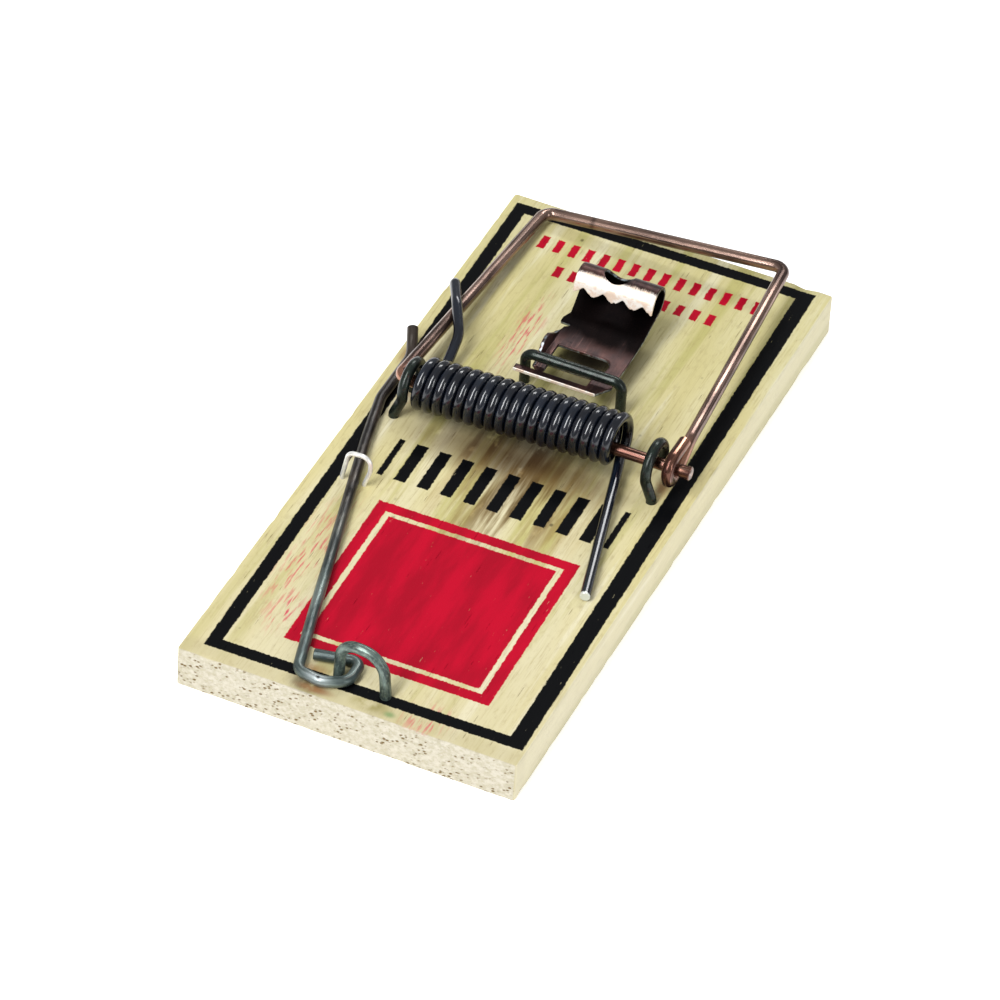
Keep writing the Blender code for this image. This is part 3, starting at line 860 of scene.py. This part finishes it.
def make_spring():
    steps = COIL_TURNS * STEPS_PER_TURN
    coil = []
    for i in range(steps + 1):
        share = i / steps
        angle = -math.pi / 2 - math.tau * i / STEPS_PER_TURN
        offset = COIL_LEFT_OFFSET + (COIL_RIGHT_OFFSET - COIL_LEFT_OFFSET) * share
        coil.append(Vector((
            COIL_LEFT_X + (COIL_RIGHT_X - COIL_LEFT_X) * share,
            AXLE_Y + offset + COIL_RADIUS * math.cos(angle),
            AXLE_Z + offset + COIL_RADIUS * math.sin(angle),
        )))
    hook = rounded([
        (-20.1, 25.4, 8.3, 0),
        (-19.6, 24.2, 9.9, 1.2),
        (-17.6, 20.3, 10.3, 4),
        (-15.3, 16.2, 8.9, 5),
        (-15.05, 12.2, 7.2, 7),
        (*coil[0], 0),
    ])
    leg = rounded([(*coil[-1], 0), (12.15, 3.2, 7.2, 6), (17.6, -18.9, 6.42, 0)])
    mesh = wire_mesh("spring", hook[:-1] + coil + leg[1:], SPRING_RADIUS, sides=20)
    piece = show("torsion_spring", mesh, spring_material(), "spring")
    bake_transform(piece)


def make_hammer():
    front = AXLE_Y - EYE_RADIUS
    low, high = AXLE_Z - EYE_RADIUS, AXLE_Z + EYE_RADIUS
    eye_bend = EYE_RADIUS - 0.01
    route = rounded([
        (21.3, AXLE_Y, AXLE_Z, 0),
        (-18.3, AXLE_Y, AXLE_Z, 1.3),
        (-16.7, 46.1, 6.85, 1.6),
        (16.5, 46.4, 10.1, 1.6),
        (18.65, 10.3, 9.65, 4),
        (18.8, 6.4, low, 2),
        (EYE_X, front, low, eye_bend),
        (EYE_X, front, high, eye_bend),
        (EYE_X, 8.0, high - 0.05, 0),
    ], steps=16)

    def swell(along, turn):
        """The axle's end is hammered over, and the rest is a little out of round."""
        lump = noise.noise(Vector((along / 1.5, math.cos(turn), math.sin(turn))))
        head = max(0.0, 1 - along / HEAD_LENGTH)
        burr = noise.noise(Vector((along * 2, 3 * math.cos(turn), 3 * math.sin(turn))))
        return 1.0 + 0.015 * lump + head * (HEAD_SWELL + HEAD_BURR * burr)

    mesh = wire_mesh("hammer", route, HAMMER_RADIUS, swell=swell)
    show("hammer_wire", mesh, hammer_material(), "hammer", "hammer")


def make_lock_bar():
    z = LOCK_BAR_Z
    route = rounded([
        (-6.97, -43.3, z, 0),
        (-4.5, -42.75, z, 4),
        (-1.3, -41.9, z, 1.1),
        (-1.15, -45.9, z, 2.0),
        (-4.2, -47.3, z, 3),
        (-7.5, -46.7, z, 1.5),
        (-9.85, -38.0, z, 6),
        (-18.15, -5.0, z, 20),
        (-19.95, 3.2, z, 8),
        (-19.95, 12.3, z, 4),
        (-21.5, 15.8, 8.0, 0),
    ])
    mesh = wire_mesh("lock_bar", route, LOCK_BAR_RADIUS, swell=uneven(0.02))
    show("lock_bar_wire", mesh, lock_bar_material(), "lock_bar", "lock_bar")


def make_small_staples(metal, dark):
    eye = rounded([
        (-3.0, -44.7, FOOT_Z, 0),
        (-3.0, -44.7, BOARD_TOP + 0.4, 6),
        (-2.75, -44.9, 11.6, 2.4),
        (2.9, -45.2, 11.3, 3.1),
        (3.48, -45.43, BOARD_TOP + 0.6, 6),
        (3.48, -45.43, FOOT_Z, 0),
    ])
    mesh = wire_mesh("eye_staple", eye, EYE_STAPLE_RADIUS, swell=uneven(0.03, seed=4))
    show("eye_staple_wire", mesh, metal, "eye_staple", "base")

    left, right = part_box("pedal_staple")
    left_x, right_x = left.x / MM + STAPLE_RADIUS, right.x / MM - STAPLE_RADIUS
    crown = rounded([
        (left_x, CROWN_Y, FOOT_Z, 0),
        (left_x, CROWN_Y, CROWN_Z, 1.2),
        (right_x, CROWN_Y, CROWN_Z, 1.2),
        (right_x, CROWN_Y, FOOT_Z, 0),
    ])
    mesh = wire_mesh("pedal_staple", crown, STAPLE_RADIUS, swell=uneven(0.03, seed=5))
    show("pedal_staple_wire", mesh, dark, "pedal_staple", "base")

    thin = rounded([
        (PACKAGING_LEFT_X, PACKAGING_Y, PACKAGING_FOOT_Z, 0),
        (PACKAGING_LEFT_X, PACKAGING_Y, 6.2, 3),
        (-17.3, PACKAGING_Y, 10.1, 1.0),
        (-14.3, PACKAGING_Y, 10.3, 1.2),
        (-14.35, PACKAGING_Y, 8.1, 1.5),
        (PACKAGING_RIGHT_X, PACKAGING_Y, 5.9, 1.5),
        (PACKAGING_RIGHT_X, PACKAGING_Y, PACKAGING_FOOT_Z, 0),
    ])
    mesh = wire_mesh("packaging_staple", thin, PACKAGING_RADIUS, sides=16, chamfer=0.3)
    silver = patina_material(
        "galvanised_thin_wire", srgb(244, 244, 240), srgb(214, 214, 210), srgb(250, 250, 246),
        0.22, rust=0.2, metallic=0.35,
    )
    show(
        "packaging_staple_wire", mesh, silver, "packaging_staple", "lock_bar"
    )


# ---------------------------------------------------------------- pedal


def pedal_section(along):
    """Where the sheet's middle lies at that length along the blank: y, z and its heading."""
    y, z, heading = PEDAL_FRONT_Y, PEDAL_MID_Z, 0.0
    stretches = (
        (PEDAL_FLAT, 0.0),
        (PEDAL_RISE_LENGTH, PEDAL_RISE_ANGLE),
        (PEDAL_RAMP, 0.0),
        (CURL_RADIUS * CURL_ANGLE, CURL_ANGLE),
        (math.inf, 0.0),
    )
    for length, turn in stretches:
        run = min(along, length)
        if turn:
            radius = length / turn
            ahead = heading + run / radius
            y += radius * (math.sin(ahead) - math.sin(heading))
            z += radius * (math.cos(heading) - math.cos(ahead))
            heading = ahead
        else:
            y += run * math.cos(heading)
            z += run * math.sin(heading)
        along -= run
        if along <= 0:
            break
    return y, z, heading


def bent(x, along, height):
    """A point of the flat blank, moved to where it lies once the pedal is bent."""
    y, z, heading = pedal_section(along)
    if FLANGE_START <= along <= FLANGE_END and x < FLANGE_FOLD_X:
        over = FLANGE_FOLD_X - x
        turn = min(over / FLANGE_BEND_RADIUS, math.pi / 2)
        upright = over - turn * FLANGE_BEND_RADIUS
        x = FLANGE_FOLD_X - FLANGE_BEND_RADIUS * math.sin(turn) + height * math.sin(turn)
        z += FLANGE_BEND_RADIUS * (1 - math.cos(turn)) + upright + height * math.cos(turn)
        return Vector((x, y, z))
    return Vector((x, y - height * math.sin(heading), z + height * math.cos(heading)))


def tooth_edge():
    """The lip's end, right to left: a wave that leaves a tooth at each side, with torn tips."""
    pitch = (CURL_RIGHT_X - CURL_LEFT_X) / TOOTH_COUNT
    edge = []
    for tooth in range(TOOTH_COUNT):
        for i in range(TOOTH_STEPS):
            rise = (0.5 + 0.5 * math.cos(math.tau * i / TOOTH_STEPS)) ** TOOTH_WIDENING
            x = CURL_RIGHT_X - (tooth + i / TOOTH_STEPS) * pitch
            torn = TEAR_DEPTH * noise.noise(Vector((x / TEAR_SIZE, 0, 0))) * rise
            edge.append((x, BLANK_LENGTH - TOOTH_DEPTH * (1 - rise) + min(torn, 0)))
    edge.append((CURL_LEFT_X, BLANK_LENGTH))
    return edge


def blank_outline():
    """The blank's rim (x, along): its front edge, right side, toothed lip, left side and flange."""
    return [
        (-6.7, 0.0), (4.4, 0.0), (5.85, 2.1), (5.9, 12.0), (CURL_RIGHT_X, CURL_START),
        *tooth_edge(),
        (CURL_LEFT_X, CURL_START), (-4.75, 14.6), (-4.5, 12.9), (-5.05, 11.7), (-5.05, 10.9),
        (-3.6, 10.8), (-3.6, 10.6), (-4.25, 10.2), (-5.1, 8.2), (-6.5, 6.2), (-6.7, 5.2),
        (-6.4, 4.3), (-5.6, 3.5), (-4.8, 3.0), (-4.7, 1.6), (-4.25, 1.4), (-3.9, 1.2),
        (-3.9, 1.0), (-6.7, 1.0),
    ]


def blank_openings():
    """The two slots and the bait hole."""
    first_slot = [(-3.1, 1.0), (2.9, 1.0), (2.9, 2.75), (-3.1, 2.75)]
    round_end = [
        (3.0 + 0.9 * math.sin(turn), 5.4 - 1.4 * math.cos(turn))
        for turn in (math.pi * i / SLOT_END_STEPS for i in range(SLOT_END_STEPS + 1))
    ]
    second_slot = [(-3.5, 4.0), *round_end, (-3.5, 6.85)]
    centre = CURL_START + CURL_RADIUS * BAIT_HOLE_ANGLE
    bait_hole = [
        (
            BAIT_HOLE_X + BAIT_HOLE_RADIUS * math.cos(turn),
            centre + BAIT_HOLE_RADIUS * math.sin(turn),
        )
        for turn in (math.tau * i / BAIT_HOLE_STEPS for i in range(BAIT_HOLE_STEPS))
    ]
    return first_slot, second_slot, bait_hole


def flat_blank():
    """The blank as a solid sheet in mm, remeshed into small even faces with softened rims."""
    builder = bmesh.new()
    for loop in (blank_outline(), *blank_openings()):
        rim = [builder.verts.new((x, along, -PEDAL_THICKNESS / 2)) for x, along in loop]
        for start, end in zip(rim, rim[1:] + rim[:1]):
            builder.edges.new((start, end))
    bmesh.ops.triangle_fill(builder, use_beauty=True, edges=builder.edges[:])
    raised = bmesh.ops.extrude_face_region(builder, geom=builder.faces[:])["geom"]
    top = [item for item in raised if isinstance(item, bmesh.types.BMVert)]
    bmesh.ops.translate(builder, verts=top, vec=(0, 0, PEDAL_THICKNESS))
    bmesh.ops.recalc_face_normals(builder, faces=builder.faces[:])
    mesh = bpy.data.meshes.new("flat_blank")
    builder.to_mesh(mesh)
    builder.free()
    sheet = bpy.data.objects.new("flat_blank", mesh)
    bpy.context.scene.collection.objects.link(sheet)
    even = sheet.modifiers.new("even_faces", "REMESH")
    even.mode = "VOXEL"
    even.voxel_size = SHEET_VOXEL
    soften = sheet.modifiers.new("soft_rims", "SMOOTH")
    soften.factor = 0.5
    soften.iterations = 2
    graph = bpy.context.evaluated_depsgraph_get()
    result = bpy.data.meshes.new_from_object(sheet.evaluated_get(graph))
    bpy.data.objects.remove(sheet)
    return result


def make_pedal():
    mesh = flat_blank()
    places = [vertex.co.copy() for vertex in mesh.vertices]
    attribute = mesh.attributes.new("wire", "FLOAT_VECTOR", "POINT")
    attribute.data.foreach_set("vector", [value for place in places for value in place])
    for vertex, place in zip(mesh.vertices, places):
        thin = min(1.0, max(0.0, (place.y - LIP_THIN_START) / LIP_THIN_RUN))
        vertex.co = bent(place.x, place.y, place.z * (1 - LIP_THINNING * thin)) * MM
    mesh.shade_smooth()
    mesh.name = "pedal"
    show("bait_pedal", mesh, pedal_material(), "pedal", "pedal")


# ---------------------------------------------------------------- board


CORNER_RADIUS, EDGE_SOFTNESS = 0.45, 0.13
# How far apart the cuts lie, on each axis, that give the board enough points to wear
BOARD_STEPS, CUT_TOLERANCE = (0.8, 0.8, 0.7), 1e-4
# Points this near a side are pulled in by a base depth and a ripple, and near a rim by chips too
WORN_REACH, WORN_DEPTH = 0.4, 0.02
RIPPLE_SIZE, RIPPLE_DEPTH = (0.8, 9, 0.8), 0.02
CHIP_SIZE, CHIP_FROM, CHIP_DEPTH = 2.3, 0.22, 0.4


def make_board():
    """The board with softened, slightly chipped edges."""
    low, high = BASE_LOW, BASE_HIGH
    builder = bmesh.new()
    bmesh.ops.create_cube(builder, size=1.0)
    bmesh.ops.scale(builder, verts=builder.verts, vec=high - low)
    bmesh.ops.translate(builder, verts=builder.verts, vec=(high + low) / 2)
    upright = [
        edge for edge in builder.edges
        if abs(edge.verts[0].co.z - edge.verts[1].co.z) > 1
    ]
    bmesh.ops.bevel(
        builder, geom=upright, offset=CORNER_RADIUS, segments=4, profile=0.5, affect="EDGES"
    )
    rims = [
        edge for edge in builder.edges
        if abs(edge.verts[0].co.z - edge.verts[1].co.z) < 1
    ]
    bmesh.ops.bevel(
        builder, geom=rims, offset=EDGE_SOFTNESS, segments=3, profile=0.5, affect="EDGES"
    )
    for axis, step in enumerate(BOARD_STEPS):
        normal = [float(axis == i) for i in range(3)]
        count = int((high[axis] - low[axis]) / step)
        for i in range(1, count):
            point = list(low)
            point[axis] += i * step
            everything = builder.verts[:] + builder.edges[:] + builder.faces[:]
            bmesh.ops.bisect_plane(
                builder, geom=everything, plane_co=point, plane_no=normal, dist=CUT_TOLERANCE
            )
    for vertex in builder.verts:
        vertex.co = worn_in(vertex.co, low, high)
    bmesh.ops.scale(builder, verts=builder.verts, vec=(MM, MM, MM))
    mesh = bpy.data.meshes.new("board")
    builder.to_mesh(mesh)
    builder.free()
    mesh.shade_smooth()
    mesh.set_sharp_from_angle(angle=BOARD_CREASE)
    show("printed_board", mesh, wood_material(), "base", "base")


def worn_in(point, low, high):
    """Pulls the board's rims in by a little noise, so that no edge is ruler straight."""
    reach = [min(point[i] - low[i], high[i] - point[i]) for i in range(3)]
    second_nearest = sorted(reach)[1]
    edge = max(0.0, 1 - second_nearest / WORN_REACH)
    chip = max(0.0, noise.noise(point / CHIP_SIZE) - CHIP_FROM) * CHIP_DEPTH * edge
    rippled = Vector([part / size for part, size in zip(point, RIPPLE_SIZE)])
    ripple = RIPPLE_DEPTH * noise.noise(rippled)
    depth = chip + WORN_DEPTH + ripple * (1 - edge)
    centre = (low + high) / 2
    pull = Vector((0, 0, 0))
    for i in range(3):
        if reach[i] < WORN_REACH:
            pull[i] = math.copysign(depth, centre[i] - point[i])
    # The underside stays flat, so that the board sits level
    if point.z < low.z + WORN_REACH:
        pull.z = 0
    return point + pull


# ---------------------------------------------------------------- making


set_camera()
set_lights()
make_floor()
staple_metal = patina_material(
    "green_grey_staple_wire", srgb(104, 120, 114), srgb(52, 64, 62), srgb(128, 144, 132), 0.34
)
dark_metal = patina_material(
    "dark_staple_wire", srgb(32, 41, 37), srgb(16, 21, 20), srgb(52, 65, 56), 0.28
)
make_board()
make_axle_staples(dark_metal)
make_spring()
make_hammer()
make_lock_bar()
make_small_staples(staple_metal, dark_metal)
make_pedal()
